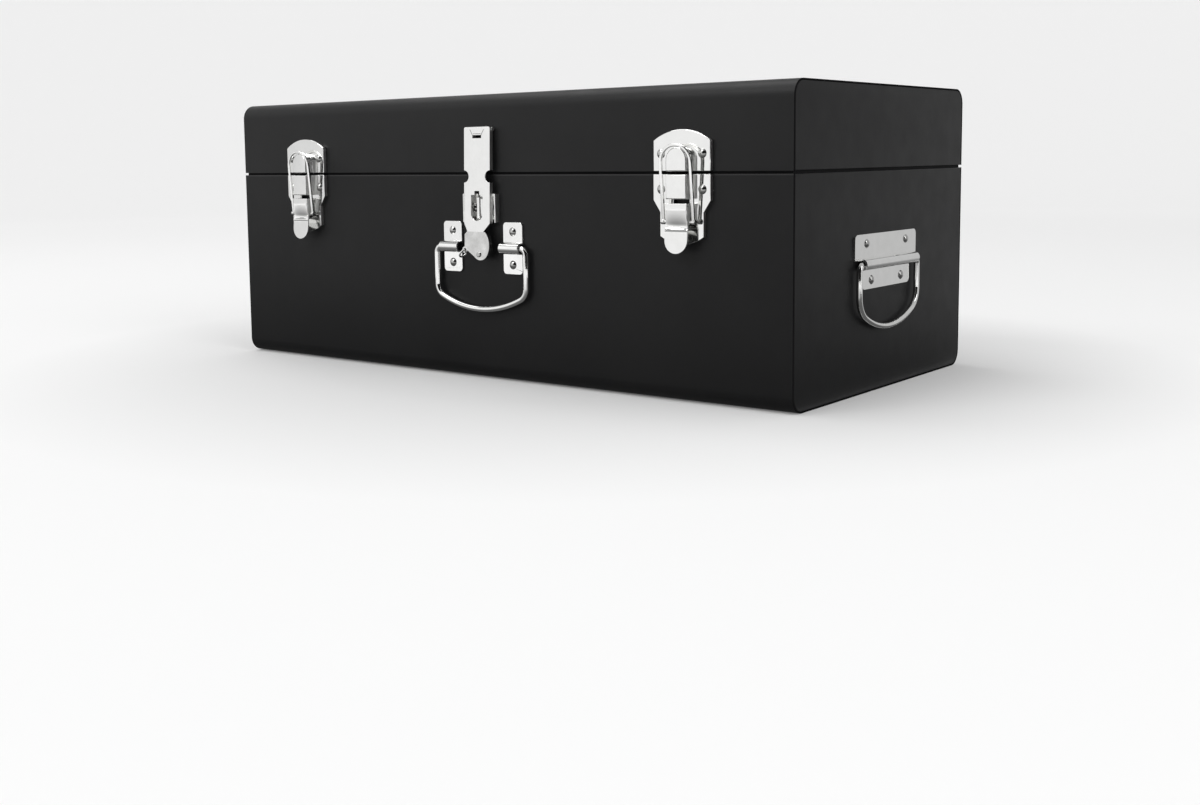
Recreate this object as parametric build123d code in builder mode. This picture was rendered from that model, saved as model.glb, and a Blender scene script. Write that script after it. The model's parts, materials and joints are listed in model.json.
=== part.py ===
"""Small metal storage trunk with a hinged lid, two draw latches, a hasp and three bail handles.

Millimetres, +Z up. The origin is the centre of the underside, +X runs to the right end
and -Y is the front. Every piece is a solid of its own and is written to parts/.
"""
from build123d import *
from math import asin, cos, degrees, hypot, radians, sin
import os

# Case
width = 508.0
depth = 254.0
height = 203.0
sheet = 1.0
edge_radius = 11.0
seam_bottom = 146.2
seam_gap = 1.8
end_edge_round = 0.8
end_flange = 10.0
flange_stop = 1.5
lip_drop = 5.7
lip_rise = 7.3
lip_thickness = 1.0
lip_clearance = 0.6

# Rivets
shank_radius = 1.5
shank_clearance = 0.05
rivet_head_radius = 3.1
rivet_head_height = 1.6
rivet_tail_radius = 2.4
rivet_tail_height = 1.1

# Back hinge
hinge_length = 480.0
knuckle_count = 20
knuckle_gap = 0.3
knuckle_radius = 2.6
hinge_pin_radius = 1.2
running_clearance = 0.05
hinge_stand_off = 0.3
leaf_thickness = 1.0
leaf_height = 20.0
leaf_knuckle_clearance = 0.35
leaf_rivet_count = 5
leaf_rivet_pitch = 105.0
leaf_rivet_reach = 12.4
pin_head_radius = 1.9
pin_head_length = 1.0

# Latches
latch_inset = 77.6
plate_width = 42.5
plate_lift = 3.0
plate_sheet = 1.0
keeper_shoulder = 19.4
keeper_rise = 6.8
plate_straight = 16.5
plate_taper = 7.6
plate_narrow_width = 32.4
plate_narrow_straight = 15.2
plate_belly = 5.0
latch_rivet_pitch = 30.8
keeper_rivet_height = 11.1
plate_rivet_drop = 9.5
hump_width = 15.5
hump_front = 9.8
hump_round = 0.9
keeper_hump_height = 15.0
plate_hump_height = 15.6
ear_thickness = 0.8
ear_radius = 2.2
ear_clearance = 0.1
ear_opening_height = 18.0
lever_pin_out = 5.8
lever_pin_drop = 20.4
lever_pin_radius = 1.2
loop_pin_step = 0.8
loop_pin_drop = 9.5
loop_pin_radius = 1.1
loop_inner_radius = 10.1
loop_strip = 2.0
loop_depth = 1.8
loop_eye_radius = 1.7
loop_front_clearance = 0.3
loop_top_clearance = 0.5
lever_width = 15.7
lever_tab_width = 16.8
lever_sheet = 1.0
lever_cheek = 1.0
lever_head = 2.2
lever_flat = 4.4
lever_slope = 16.0
lever_fall = 0.8
lever_ridge = 0.6
lever_ridge_height = 2.2
lever_flare = 1.0
lever_length = 31.5
lever_eye_radius = 1.9
pin_overhang = 0.5

# Hasp
hasp_x = 6.9
strap_width = 24.0
strap_corner = 1.2
strap_top = 179.6
strap_sheet = 1.0
strap_front = 5.0
strap_flange_depth = 3.2
strap_lean = 1.5
strap_pin_out = 2.2
strap_pin_height = 178.0
strap_pin_radius = 0.9
strap_knuckle_radius = 1.6
strap_knuckle_width = 10.0
notch_radius = 4.3
notch_height = 144.9
slot_width = 11.0
slot_top = 131.9
slot_bottom = 113.6
slot_nub = 2.8
slot_nub_width = 4.5
tail_shoulder = 112.0
tail_taper = 6.0
tail_left = -9.0
tail_right = 6.0
tongue_radius = 2.1
tongue_x = 3.0
tongue_height = 90.0
window_width = 8.2
window_height = 2.2
window_drop = 6.8
hasp_plate_width = 20.0
hasp_plate_bottom = 151.0
hasp_plate_sheet = 1.2
hasp_rivet_low = 156.6
hasp_rivet_high = 168.0
catch_x = 7.1
catch_width = 30.4
catch_height = 20.2
catch_bottom = 112.5
catch_cheek = 4.4
catch_rivet_pitch = 13.0
staple_width = 2.6
staple_strip = 1.4
staple_height = 16.0
staple_gap = 0.3
staple_hole_clearance = 0.1
staple_clinch = 1.2
staple_bend = 1.25
shield_left = 10.5
shield_right = 12.5
shield_corner = 2.0
shield_top = 106.0
shield_height = 20.0
shield_depth = 3.6
shield_sheet = 1.2
shield_tip = 4.2
shield_tip_reach = 5.6
shield_tip_rise = 2.4
shield_side_rise = 8.4
lug_radius = 2.4
lug_x = -10.3
lug_drop = 13.0
lug_bore = 1.2
ring_radius = 3.2
small_shank = 1.0
small_head = 1.9
small_head_round = 0.6
ring_wire_radius = 0.65
ring_slant = (0.6, 0.8)

# Front handle
front_handle_x = 6.9
front_pivot_height = 94.8
bracket_pitch = 56.6
bracket_width = 17.5
bracket_pad = 14.2
bracket_corner = 2.8
bracket_sheet = 1.2
bracket_rivet_reach = 11.6
front_wire_radius = 2.2
barrel_clearance = 0.4
barrel_wall = 1.4
bail_stand_off = 3.3
front_bail_span = 83.5
front_bail_drop = 44.1
front_bail_corner = 9.0
front_bail_sweep = 85.0
front_bail_end = 19.0
bail_bend = 4.6

# Side handles
side_handle_y = -1.5
side_pivot_height = 85.9
side_wire_radius = 2.0
side_upper_width = 93.0
side_upper_height = 15.6
side_lower_width = 72.0
side_lower_height = 13.0
side_corner = 3.6
side_barrel_width = 81.0
side_upper_pitch = 59.6
side_lower_pitch = 44.9
side_upper_reach = 13.2
side_lower_reach = 11.0
side_bail_span = 88.0
side_bail_drop = 43.3
side_bail_corner = 16.0
side_bail_sweep = 80.0
side_bail_end = 30.0

# Lid stays
stay_radius = 60.0
stay_lid_angle = 12.0
stay_base_angle = -14.0
lid_open_angle = 100.0
stay_width = 10.0
stay_thickness = 1.5
stay_inset = 5.2
stud_radius = 2.4
stud_shoulder_radius = 4.0
stud_head = 1.4
stud_side_clearance = 0.3
stud_clearance = 0.1

# Sizes that follow from the ones above
half_width = width / 2
half_depth = depth / 2
latch_x = half_width - latch_inset
seam_top = seam_bottom + seam_gap
front = -half_depth
hinge_axis_y = half_depth + hinge_stand_off + knuckle_radius
hinge_axis_z = seam_bottom + seam_gap / 2
lever_pin_z = seam_bottom - lever_pin_drop
loop_pin_out = lever_pin_out + loop_pin_step
loop_pin_z = lever_pin_z - loop_pin_drop
keeper_hump_top = seam_top + keeper_hump_height
loop_reach_z = keeper_hump_top + loop_top_clearance - loop_pin_z
loop_reach_out = hump_front + loop_front_clearance + loop_depth / 2 - loop_pin_out
loop_length = hypot(loop_reach_out, loop_reach_z)
loop_lean = degrees(asin(loop_reach_out / loop_length))
staple_bottom = catch_bottom + (catch_height - staple_height) / 2
staple_lift = sin(radians(strap_lean)) * (strap_pin_height - staple_bottom - staple_height)
staple_out = strap_front - strap_sheet + staple_lift - staple_gap

os.makedirs("parts", exist_ok=True)


def save(piece, name):
    """Labels a finished piece and writes it as a STEP file."""
    piece.part.label = name
    export_step(piece.part, f"parts/{name}.step")


def front_plane(out):
    """A plane on the front, facing -Y, at a distance out from the case: x is +X, y is +Z."""
    return Plane(origin=(0, front - out, 0), x_dir=(1, 0, 0), z_dir=(0, -1, 0))


def end_plane(side, out):
    """A plane on one end, facing away from the case: y is +Z."""
    return Plane(origin=(side * (half_width + out), 0, 0), x_dir=(0, side, 0), z_dir=(side, 0, 0))


def back_plane(out):
    """A plane on the back, facing +Y: x is -X, y is +Z."""
    return Plane(origin=(0, half_depth + out, 0), x_dir=(-1, 0, 0), z_dir=(0, 1, 0))


def rivets(name, plane, points, grip):
    """A group of identical domed rivets; the plane is the face that their heads sit on."""
    dome = (rivet_head_radius**2 + rivet_head_height**2) / (2 * rivet_head_height)
    with BuildPart() as group:
        for x, y in points:
            centre = plane.from_local_coords((x, y, 0))
            with BuildSketch(Plane(origin=centre, x_dir=plane.x_dir, z_dir=-plane.y_dir)):
                with BuildLine():
                    Polyline((0, rivet_head_height), (0, 0), (rivet_head_radius, 0))
                    RadiusArc((rivet_head_radius, 0), (0, rivet_head_height), -dome)
                make_face()
                with Locations((shank_radius / 2, -grip / 2)):
                    Rectangle(shank_radius, grip)
                with Locations((rivet_tail_radius / 2, -grip - rivet_tail_height / 2)):
                    Rectangle(rivet_tail_radius, rivet_tail_height)
            revolve(axis=Axis(centre, plane.z_dir))
    save(group, name)


def cut_rivet_holes(plane, points, through):
    """Cuts rivet holes into the part being built, inwards from a plane."""
    with BuildSketch(plane) as holes:
        with Locations(*points):
            Circle(shank_radius + shank_clearance)
    extrude(holes.sketch, amount=-through, mode=Mode.SUBTRACT)


# Where the rivets are, in the plane that they are set on
keeper_rivets = [(-latch_rivet_pitch / 2, keeper_rivet_height), (latch_rivet_pitch / 2, keeper_rivet_height)]
plate_rivets = [(-latch_rivet_pitch / 2, -plate_rivet_drop), (latch_rivet_pitch / 2, -plate_rivet_drop)]
hasp_rivets = [(hasp_x, hasp_rivet_low), (hasp_x, hasp_rivet_high)]
catch_mid = catch_bottom + catch_height / 2
catch_rivets = [(hasp_x - catch_rivet_pitch / 2, catch_mid), (hasp_x + catch_rivet_pitch / 2, catch_mid)]
leaf_rivet_xs = [leaf_rivet_pitch * (i - (leaf_rivet_count - 1) / 2) for i in range(leaf_rivet_count)]
base_leaf_rivets = [(x, hinge_axis_z - leaf_rivet_reach) for x in leaf_rivet_xs]
lid_leaf_rivets = [(x, hinge_axis_z + leaf_rivet_reach) for x in leaf_rivet_xs]
bracket_xs = {
    "left": front_handle_x - bracket_pitch / 2,
    "right": front_handle_x + bracket_pitch / 2,
}


def bracket_rivets(x):
    """The two rivets of one front handle bracket."""
    return [(x, front_pivot_height - bracket_rivet_reach), (x, front_pivot_height + bracket_rivet_reach)]


def side_rivets(side):
    """The four rivets of one side handle plate, in its end plane."""
    y = side * side_handle_y
    upper = side_pivot_height + side_upper_reach
    lower = side_pivot_height - side_lower_reach
    return [
        (y - side_upper_pitch / 2, upper),
        (y + side_upper_pitch / 2, upper),
        (y - side_lower_pitch / 2, lower),
        (y + side_lower_pitch / 2, lower),
    ]


def at_latch(points, x, z):
    """Moves rivet places from a latch's own centre line and seam edge to the front."""
    return [(x + px, z + pz) for px, pz in points]


# Case
def section(plane, z_low, z_high, rounded_group, inset=0.0, open_edge=True):
    """Sketches the case's rounded section; the seam edge isn't inset when it is open."""
    low = z_low + (inset if rounded_group == 0 or not open_edge else 0)
    high = z_high - (inset if rounded_group != 0 or not open_edge else 0)
    with BuildSketch(plane) as profile:
        with Locations((0, (low + high) / 2)):
            Rectangle(depth - 2 * inset, high - low)
        fillet(profile.vertices().group_by(Axis.Y)[rounded_group], edge_radius - inset)
    return profile.sketch


def cut_staple_holes(plane, through):
    """Cuts the two slots for the hasp's staple into the part being built."""
    with BuildSketch(plane) as slots:
        with Locations((hasp_x, staple_bottom + staple_strip / 2),
                       (hasp_x, staple_bottom + staple_height - staple_strip / 2)):
            Rectangle(staple_width + 2 * staple_hole_clearance, staple_strip + 2 * staple_hole_clearance)
    extrude(slots.sketch, amount=-through, mode=Mode.SUBTRACT)


def build_wrap(name, z_low, z_high, rounded_group, front_points, back_points):
    """The bent sheet that is the front, the back, and the bottom or top."""
    with BuildPart() as wrap:
        start = Plane.YZ.offset(-half_width)
        extrude(section(start, z_low, z_high, rounded_group), amount=2 * half_width)
        inside = section(start, z_low, z_high, rounded_group, sheet)
        extrude(inside, amount=2 * half_width, mode=Mode.SUBTRACT)
        cut_rivet_holes(front_plane(0), front_points, sheet)
        cut_rivet_holes(back_plane(0), back_points, sheet)
        cut_staple_holes(front_plane(0), sheet)
    save(wrap, name)


def build_end(name, side, z_low, z_high, rounded_group, holes):
    """An end panel: a flat plate with a flange that sits inside the bent sheet."""
    lip_bottom = seam_bottom - lip_drop - flange_stop
    lip_top = seam_bottom + lip_rise + flange_stop
    flange_low = z_low if rounded_group == 0 else lip_top
    flange_high = lip_bottom if rounded_group == 0 else z_high
    with BuildPart() as panel:
        extrude(section(end_plane(side, 0), z_low, z_high, rounded_group, sheet), amount=-sheet)
        fillet(panel.edges().group_by(Axis.X)[-1 if side > 0 else 0], end_edge_round)
        flange = section(end_plane(side, -sheet), flange_low, flange_high, rounded_group, sheet)
        extrude(flange, amount=-end_flange)
        hollow = section(end_plane(side, -sheet), flange_low, flange_high, rounded_group, 2 * sheet)
        extrude(hollow, amount=-end_flange, mode=Mode.SUBTRACT)
        if holes:
            cut_rivet_holes(end_plane(side, 0), holes, sheet)
    save(panel, name)


def build_lip():
    """The joggled lip round the base's top edge, which the lid closes over."""
    inner_x = half_width - sheet
    inner_y = half_depth - sheet
    with BuildPart() as lip:
        with BuildSketch(Plane.XY.offset(seam_bottom - lip_drop)):
            Rectangle(2 * inner_x, 2 * inner_y)
            Rectangle(2 * (inner_x - lip_clearance - lip_thickness),
                      2 * (inner_y - lip_clearance - lip_thickness), mode=Mode.SUBTRACT)
        extrude(amount=lip_drop)
        with BuildSketch(Plane.XY.offset(seam_bottom)):
            Rectangle(2 * (inner_x - lip_clearance), 2 * (inner_y - lip_clearance))
            Rectangle(2 * (inner_x - lip_clearance - lip_thickness),
                      2 * (inner_y - lip_clearance - lip_thickness), mode=Mode.SUBTRACT)
        extrude(amount=lip_rise)
    save(lip, "base_lip")


base_front_points = (
    at_latch(plate_rivets, -latch_x, seam_bottom)
    + at_latch(plate_rivets, latch_x, seam_bottom)
    + catch_rivets
    + bracket_rivets(bracket_xs["left"])
    + bracket_rivets(bracket_xs["right"])
)
lid_front_points = (
    at_latch(keeper_rivets, -latch_x, seam_top)
    + at_latch(keeper_rivets, latch_x, seam_top)
    + hasp_rivets
)
build_wrap("base_wrap", 0, seam_bottom, 0, base_front_points, base_leaf_rivets)
build_wrap("lid_wrap", seam_top, height, -1, lid_front_points, lid_leaf_rivets)
for side, side_name in ((-1, "left"), (1, "right")):
    build_end(f"base_end_{side_name}", side, 0, seam_bottom, 0, side_rivets(side))
    build_end(f"lid_end_{side_name}", side, seam_top, height, -1, [])
build_lip()


# Back hinge
def build_leaf(name, direction, odd, holes):
    """One leaf of the long hinge with its own knuckles; direction is +1 for the lid's leaf."""
    pitch = hinge_length / knuckle_count
    clear = ((knuckle_radius + leaf_knuckle_clearance) ** 2
             - (hinge_axis_y - half_depth - leaf_thickness) ** 2) ** 0.5
    starts = [-hinge_length / 2 + pitch * i for i in range(knuckle_count) if i % 2 == odd]
    with BuildPart() as leaf:
        with BuildSketch(back_plane(0)):
            tall = leaf_height - clear
            with Locations((0, hinge_axis_z + direction * (clear + tall / 2))):
                Rectangle(hinge_length, tall)
            for x in starts:
                with Locations((-(x + pitch / 2), hinge_axis_z + direction * clear / 2)):
                    Rectangle(pitch - knuckle_gap, clear)
        extrude(amount=leaf_thickness)
        for x in starts:
            with BuildSketch(Plane.YZ.offset(x + knuckle_gap / 2)):
                with Locations((hinge_axis_y, hinge_axis_z)):
                    Circle(knuckle_radius)
            extrude(amount=pitch - knuckle_gap)
        with BuildSketch(Plane.YZ.offset(-hinge_length / 2)):
            with Locations((hinge_axis_y, hinge_axis_z)):
                Circle(hinge_pin_radius + running_clearance)
        extrude(amount=hinge_length, mode=Mode.SUBTRACT)
        cut_rivet_holes(back_plane(leaf_thickness), holes, leaf_thickness)
    save(leaf, name)


def round_pin(x, centre, length, radius, head_radius, head_length):
    """A pin along X, centred at x, with a peened head at each end."""
    y, z = centre
    with BuildPart() as pin:
        for start, span, r in (
            (-length / 2, length, radius),
            (-length / 2 - head_length, head_length, head_radius),
            (length / 2, head_length, head_radius),
        ):
            with BuildSketch(Plane.YZ.offset(x + start)):
                with Locations((y, z)):
                    Circle(r)
            extrude(amount=span)
    return pin


build_leaf("hinge_leaf_base", -1, 0, [(-x, z) for x, z in base_leaf_rivets])
build_leaf("hinge_leaf_lid", 1, 1, [(-x, z) for x, z in lid_leaf_rivets])
save(round_pin(0, (hinge_axis_y, hinge_axis_z), hinge_length, hinge_pin_radius,
               pin_head_radius, pin_head_length), "hinge_pin")
rivets("hinge_rivets_base", back_plane(leaf_thickness), base_leaf_rivets, leaf_thickness + sheet)
rivets("hinge_rivets_lid", back_plane(leaf_thickness), lid_leaf_rivets, leaf_thickness + sheet)


# Latches
def keeper_outline(x, inset=0.0):
    """Sketches the keeper plate on the lid: straight sides under a shallow arch."""
    half = plate_width / 2 - inset
    shoulder = seam_top + keeper_shoulder - inset
    with BuildLine() as edge:
        Polyline((x - half, shoulder), (x - half, seam_top), (x + half, seam_top), (x + half, shoulder))
        ThreePointArc((x + half, shoulder), (x, shoulder + keeper_rise), (x - half, shoulder))
    make_face(edge.edges())


def latch_plate_outline(x, inset=0.0):
    """Sketches the plate on the base: wide sides, a taper, narrow sides and a round bottom edge."""
    half = plate_width / 2 - inset
    narrow = plate_narrow_width / 2 - inset
    taper_top = seam_bottom - plate_straight
    taper_bottom = taper_top - plate_taper
    foot = taper_bottom - plate_narrow_straight + inset
    with BuildLine() as edge:
        Polyline((x - narrow, foot), (x - narrow, taper_bottom), (x - half, taper_top),
                 (x - half, seam_bottom), (x + half, seam_bottom), (x + half, taper_top),
                 (x + narrow, taper_bottom), (x + narrow, foot))
        ThreePointArc((x + narrow, foot), (x, foot - plate_belly), (x - narrow, foot))
    make_face(edge.edges())


def keeper_hump(x, inset=0.0):
    """Sketches the keeper's raised catch, with a round top."""
    half = hump_width / 2 - inset
    top = keeper_hump_top - inset
    low = seam_top + inset
    with BuildLine() as edge:
        Polyline((x - half, top - half), (x - half, low), (x + half, low), (x + half, top - half))
        ThreePointArc((x + half, top - half), (x, top), (x - half, top - half))
    make_face(edge.edges())


def plate_hump(x, inset=0.0):
    """Sketches the raised box of the base plate, which lines up with the keeper's."""
    with Locations((x, seam_bottom - plate_hump_height / 2)):
        Rectangle(hump_width - 2 * inset, plate_hump_height - 2 * inset)


def pressed_plate(builder, outline, hump, x, holes):
    """Builds a pressed plate: a raised face with its rim turned in, and a hollow hump."""
    with BuildSketch(front_plane(0)) as rim:
        outline(x)
    extrude(rim.sketch, amount=plate_lift)
    with BuildSketch(front_plane(0)) as hollow:
        outline(x, plate_sheet)
    extrude(hollow.sketch, amount=plate_lift - plate_sheet, mode=Mode.SUBTRACT)
    with BuildSketch(front_plane(plate_lift - plate_sheet)) as raised:
        hump(x)
    extrude(raised.sketch, amount=hump_front - plate_lift + plate_sheet)
    fillet(builder.edges().group_by(Axis.Y)[0], hump_round)
    with BuildSketch(front_plane(0)) as inside:
        hump(x, plate_sheet)
    extrude(inside.sketch, amount=hump_front - plate_sheet, mode=Mode.SUBTRACT)
    cut_rivet_holes(front_plane(plate_lift), holes, plate_sheet)


def side_section(x):
    """A plane across the trunk at x: its x is the distance out from the front, its y is +Z."""
    return Plane(origin=(x, front, 0), x_dir=(0, -1, 0), z_dir=(-1, 0, 0))


def build_base_plate(name, x, holes):
    """The base plate, with two ears cut out of its face that carry the lever's pin."""
    back = plate_lift - plate_sheet
    ear_x = lever_width / 2 - lever_cheek - ear_clearance
    with BuildPart() as plate:
        pressed_plate(plate, latch_plate_outline, plate_hump, x, holes)
        with BuildSketch(front_plane(plate_lift)):
            with Locations((x, seam_bottom - plate_hump_height - ear_opening_height / 2)):
                Rectangle(2 * (ear_x - ear_thickness), ear_opening_height)
        extrude(amount=-plate_sheet, mode=Mode.SUBTRACT)
        for start in (x + ear_x, x - ear_x + ear_thickness):
            with BuildSketch(side_section(start)):
                with Locations(((back + lever_pin_out) / 2, lever_pin_z)):
                    Rectangle(lever_pin_out - back, 2 * ear_radius)
                with Locations((lever_pin_out, lever_pin_z)):
                    Circle(ear_radius)
                    Circle(lever_pin_radius, mode=Mode.SUBTRACT)
            extrude(amount=ear_thickness)
    save(plate, name)


def build_lever(name, x):
    """The lever: a flat top, a hollow slope, a ridge and a thumb tab, with two cheeks for its pins."""
    top = lever_pin_z + lever_head
    half = lever_width / 2
    tab = lever_tab_width / 2
    foot = top - lever_length
    step = top - lever_slope
    low = hump_front - lever_fall
    front_line = [(hump_front, top), (hump_front, top - lever_flat), (low, step),
                  (low + lever_ridge, step - lever_ridge_height), (low + lever_ridge + lever_flare, foot)]
    back_line = [(out - lever_sheet, z) for out, z in front_line]
    with BuildPart() as lever:
        with BuildSketch(side_section(x + tab)):
            with BuildLine():
                Polyline(front_line + back_line[::-1], close=True)
            make_face()
        extrude(amount=lever_tab_width)
        with BuildSketch(front_plane(0)):
            with BuildLine():
                Polyline((x - tab, foot + tab), (x - tab, step), (x - half, top - lever_flat),
                         (x - half, top), (x + half, top), (x + half, top - lever_flat),
                         (x + tab, step), (x + tab, foot + tab))
                ThreePointArc((x + tab, foot + tab), (x, foot), (x - tab, foot + tab))
            make_face()
        extrude(amount=2 * hump_front, mode=Mode.INTERSECT)
        for start in (x + half, x - half + lever_cheek):
            with BuildSketch(side_section(start)):
                with BuildLine():
                    Polyline((loop_pin_out, loop_pin_z - loop_eye_radius),
                             (low - lever_sheet / 2, loop_pin_z - loop_eye_radius),
                             (hump_front - lever_sheet / 2, top - lever_flat),
                             (hump_front - lever_sheet / 2, top),
                             (lever_pin_out, top), (lever_pin_out - lever_eye_radius, lever_pin_z),
                             (loop_pin_out - loop_eye_radius, loop_pin_z), close=True)
                make_face()
                with Locations((lever_pin_out, lever_pin_z)):
                    Circle(lever_eye_radius)
                    Circle(lever_pin_radius + running_clearance, mode=Mode.SUBTRACT)
                with Locations((loop_pin_out, loop_pin_z)):
                    Circle(loop_eye_radius)
                    Circle(loop_pin_radius, mode=Mode.SUBTRACT)
            extrude(amount=lever_cheek)
    save(lever, name)


def build_loop(name, x):
    """The loop: a strip bent to a narrow arch, with an eye at the end of each leg."""
    lean = radians(loop_lean)
    middle = loop_inner_radius + loop_strip / 2
    plane = Plane(origin=(x, front - loop_pin_out, loop_pin_z), x_dir=(1, 0, 0),
                  z_dir=(0, -cos(lean), -sin(lean)))
    leg_top = loop_length - loop_inner_radius
    with BuildPart() as loop:
        with BuildSketch(plane):
            with BuildLine():
                Line((-middle, 0), (-middle, leg_top))
                ThreePointArc((-middle, leg_top), (0, leg_top + middle), (middle, leg_top))
                Line((middle, leg_top), (middle, 0))
                offset(amount=loop_strip / 2, side=Side.BOTH)
            make_face()
        extrude(amount=loop_depth / 2, both=True)
        for start in (x + middle + loop_strip / 2, x - middle + loop_strip / 2):
            with BuildSketch(side_section(start)):
                with Locations((loop_pin_out, loop_pin_z)):
                    Circle(loop_eye_radius)
            extrude(amount=loop_strip)
        with BuildSketch(side_section(x + middle + loop_strip)):
            with Locations((loop_pin_out, loop_pin_z)):
                Circle(loop_pin_radius + running_clearance)
        extrude(amount=2 * middle + 2 * loop_strip, mode=Mode.SUBTRACT)
        with BuildSketch(front_plane(0)):
            with Locations((x, loop_pin_z)):
                Rectangle(2 * loop_inner_radius, 3 * loop_eye_radius)
        extrude(amount=3 * loop_pin_out, mode=Mode.SUBTRACT)
    save(loop, name)


def build_latch(side, side_name):
    """All the pieces of one draw latch."""
    x = side * latch_x
    keeper_holes = at_latch(keeper_rivets, x, seam_top)
    plate_holes = at_latch(plate_rivets, x, seam_bottom)
    with BuildPart() as keeper:
        pressed_plate(keeper, keeper_outline, keeper_hump, x, keeper_holes)
    save(keeper, f"latch_keeper_{side_name}")
    rivets(f"latch_keeper_rivets_{side_name}", front_plane(plate_lift), keeper_holes, plate_lift + sheet)
    build_base_plate(f"latch_plate_{side_name}", x, plate_holes)
    rivets(f"latch_plate_rivets_{side_name}", front_plane(plate_lift), plate_holes, plate_lift + sheet)
    build_lever(f"latch_lever_{side_name}", x)
    build_loop(f"latch_loop_{side_name}", x)
    save(round_pin(x, (front - lever_pin_out, lever_pin_z), lever_width, lever_pin_radius,
                   lever_pin_radius + pin_overhang, pin_overhang), f"latch_lever_pin_{side_name}")
    loop_width = 2 * (loop_inner_radius + loop_strip)
    save(round_pin(x, (front - loop_pin_out, loop_pin_z), loop_width, loop_pin_radius,
                   loop_pin_radius + pin_overhang, pin_overhang), f"latch_loop_pin_{side_name}")


for side, side_name in ((-1, "left"), (1, "right")):
    build_latch(side, side_name)


# Hasp
strap_axis = Axis((0, front - strap_pin_out, strap_pin_height), (-1, 0, 0))


def save_leaning(piece, name):
    """Leans a piece out about the strap's pin, labels it and writes it."""
    leaned = piece.part.rotate(strap_axis, strap_lean)
    leaned.label = name
    export_step(leaned, f"parts/{name}.step")


def strap_outline():
    """Sketches the strap: notched at the seam, tapered to a tail that ends in a round tongue."""
    half = strap_width / 2
    taper_end = tail_shoulder - tail_taper
    tail_end = taper_end - shield_sheet - strap_sheet
    tongue = hasp_x + tongue_x
    with BuildLine() as edge:
        Polyline((hasp_x - half, strap_top), (hasp_x - half, tail_shoulder), (hasp_x + tail_left, taper_end),
                 (hasp_x + tail_left, tail_end), (tongue - tongue_radius, tail_end),
                 (tongue - tongue_radius, tongue_height), (tongue + tongue_radius, tongue_height),
                 (tongue + tongue_radius, tail_end), (hasp_x + tail_right, tail_end),
                 (hasp_x + tail_right, taper_end), (hasp_x + half, tail_shoulder), (hasp_x + half, strap_top),
                 close=True)
    make_face(edge.edges())
    with Locations((tongue, tongue_height)):
        Circle(tongue_radius)
    with Locations((hasp_x - half, notch_height), (hasp_x + half, notch_height)):
        Circle(notch_radius, mode=Mode.SUBTRACT)


def shield_outline(inset=0.0):
    """Sketches the teardrop cover on the strap's tail, with its tip right of the middle."""
    left = hasp_x - shield_left + inset
    right = hasp_x + shield_right - inset
    top = shield_top - inset
    low = shield_top - shield_height + inset
    tip = hasp_x + shield_tip
    corner = shield_corner
    tip_left = (tip - shield_tip_reach, low + shield_tip_rise)
    tip_right = (tip + shield_tip_reach, low + shield_tip_rise)
    side_end = low + shield_side_rise
    with BuildLine() as edge:
        Polyline((left, side_end), (left, top - corner), (left + corner, top), (right - 2 * corner, top))
        ThreePointArc((right - 2 * corner, top), (right, (low + top) / 2), tip_right)
        ThreePointArc(tip_right, (tip, low), tip_left)
        Line(tip_left, (left, side_end))
    make_face(edge.edges())


def build_strap():
    """The strap: a shallow channel that hangs from its pin, with a slot that drops over the staple."""
    inside = strap_width - 2 * strap_sheet
    with BuildPart() as strap:
        with BuildSketch(front_plane(strap_front)) as face:
            strap_outline()
            fillet(face.vertices().group_by(Axis.Y)[-1], strap_corner)
        extrude(amount=-strap_sheet)
        with BuildSketch(front_plane(strap_front)) as flanges:
            strap_outline()
            fillet(flanges.vertices().group_by(Axis.Y)[-1], strap_corner)
            with Locations((hasp_x, height / 2)):
                Rectangle(inside, height, mode=Mode.SUBTRACT)
        extrude(amount=-strap_flange_depth)
        with BuildSketch(front_plane(strap_front)):
            with Locations((hasp_x, slot_top - (slot_top - slot_bottom - slot_width / 2) / 2)):
                Rectangle(slot_width, slot_top - slot_bottom - slot_width / 2)
            with Locations((hasp_x, slot_bottom + slot_width / 2)):
                Circle(slot_width / 2)
            with Locations((hasp_x, slot_top + slot_nub / 2)):
                Rectangle(slot_nub_width, slot_nub)
            with Locations((hasp_x, strap_top - window_drop)):
                Rectangle(window_width, window_height)
            with Locations((hasp_x + tongue_x, tongue_height)):
                Circle(small_shank + shank_clearance)
        extrude(amount=-strap_sheet, mode=Mode.SUBTRACT)
        with BuildSketch(side_section(hasp_x + strap_width / 2)):
            with Locations((strap_pin_out, strap_pin_height)):
                Circle(strap_pin_radius + running_clearance)
        extrude(amount=strap_width, mode=Mode.SUBTRACT)
    save_leaning(strap, "hasp_strap")


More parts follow.
